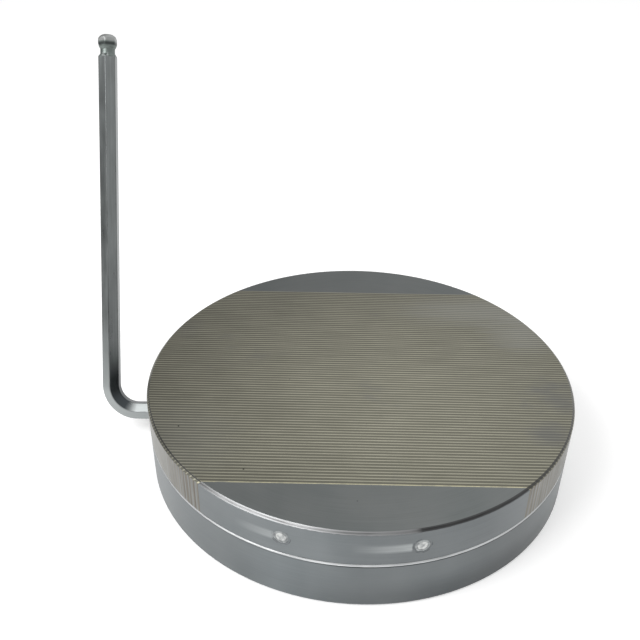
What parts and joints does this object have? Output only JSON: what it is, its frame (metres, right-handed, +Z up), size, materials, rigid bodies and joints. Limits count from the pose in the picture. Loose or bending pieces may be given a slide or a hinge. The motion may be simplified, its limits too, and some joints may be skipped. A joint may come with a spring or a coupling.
{
  "type": "round permanent magnetic chuck",
  "caption": "Round permanent magnetic chuck: laminated steel and brass work face on a turned steel base, with an eccentric shaft, a sliding magnet pack and a ball-end hex key.",
  "frame": {"origin": "centre of the underside, on the axis of the round body, at the mouth of the locating bore", "axes": "+Z up through the work face, +X along the laminations and away from the key socket, +Y across the laminations"},
  "size_m": [0.2838, 0.25, 0.2211],
  "materials": {
    "plate_steel": "ground, lightly worn",
    "lamination_steel": "ground",
    "lamination_brass": "ground, dull",
    "body_steel": "turned, satin",
    "rod_steel": "turned flush, bright",
    "key_steel": "satin plated",
    "dark_screws": "black oxide",
    "hard_steel": "hardened and ground",
    "bronze": "machined bronze",
    "carrier_alloy": "machined",
    "magnet_black": "sintered, matt",
    "seal_rubber": "moulded"
  },
  "bodies": {
    "base": {"pole_segment_front": "plate_steel", "pole_segment_rear": "plate_steel", "steel_laminations": "lamination_steel", "brass_laminations": "lamination_brass", "tie_rods": "rod_steel", "tie_rod_collars": "body_steel", "plate_screws": "dark_screws", "plate_dowels": "hard_steel", "plate_seal": "seal_rubber", "base_housing": "body_steel", "slide_strips": "bronze", "guide_keys": "bronze", "guide_key_screws": "dark_screws", "front_bush": "bronze", "rear_bush": "bronze", "stop_posts": "hard_steel"},
    "magnet_pack": {"magnet_carrier": "carrier_alloy", "pack_pole_bars": "lamination_steel", "pack_magnets": "magnet_black", "pack_rails": "bronze", "rail_screws": "dark_screws", "drive_blocks": "bronze", "drive_block_screws": "dark_screws"},
    "shaft": {"operating_shaft": "hard_steel", "shaft_seal": "seal_rubber", "shaft_circlip": "dark_screws", "stop_pin": "hard_steel"},
    "key": {"hex_key": "key_steel"}
  },
  "joints": [
    {"name": "shaft_turn", "type": "hinge", "parent": "base", "child": "shaft", "pos_m": [0, 0.006, 0.016], "axis": [1, 0, 0], "range_deg": [-63.5, 116.5]},
    {"name": "pack_shift", "type": "slide", "parent": "base", "child": "magnet_pack", "axis": [0, 1, 0], "range_m": [-0.00071, 0.00039]},
    {"name": "key_pull", "type": "slide", "parent": "shaft", "child": "key", "axis": [-1, 0, 0], "range_m": [0, 0.03]}
  ],
  "couplings": [
    {"joint": "pack_shift", "follows": "shaft_turn", "m_per_rad": -0.00035014}
  ]
}
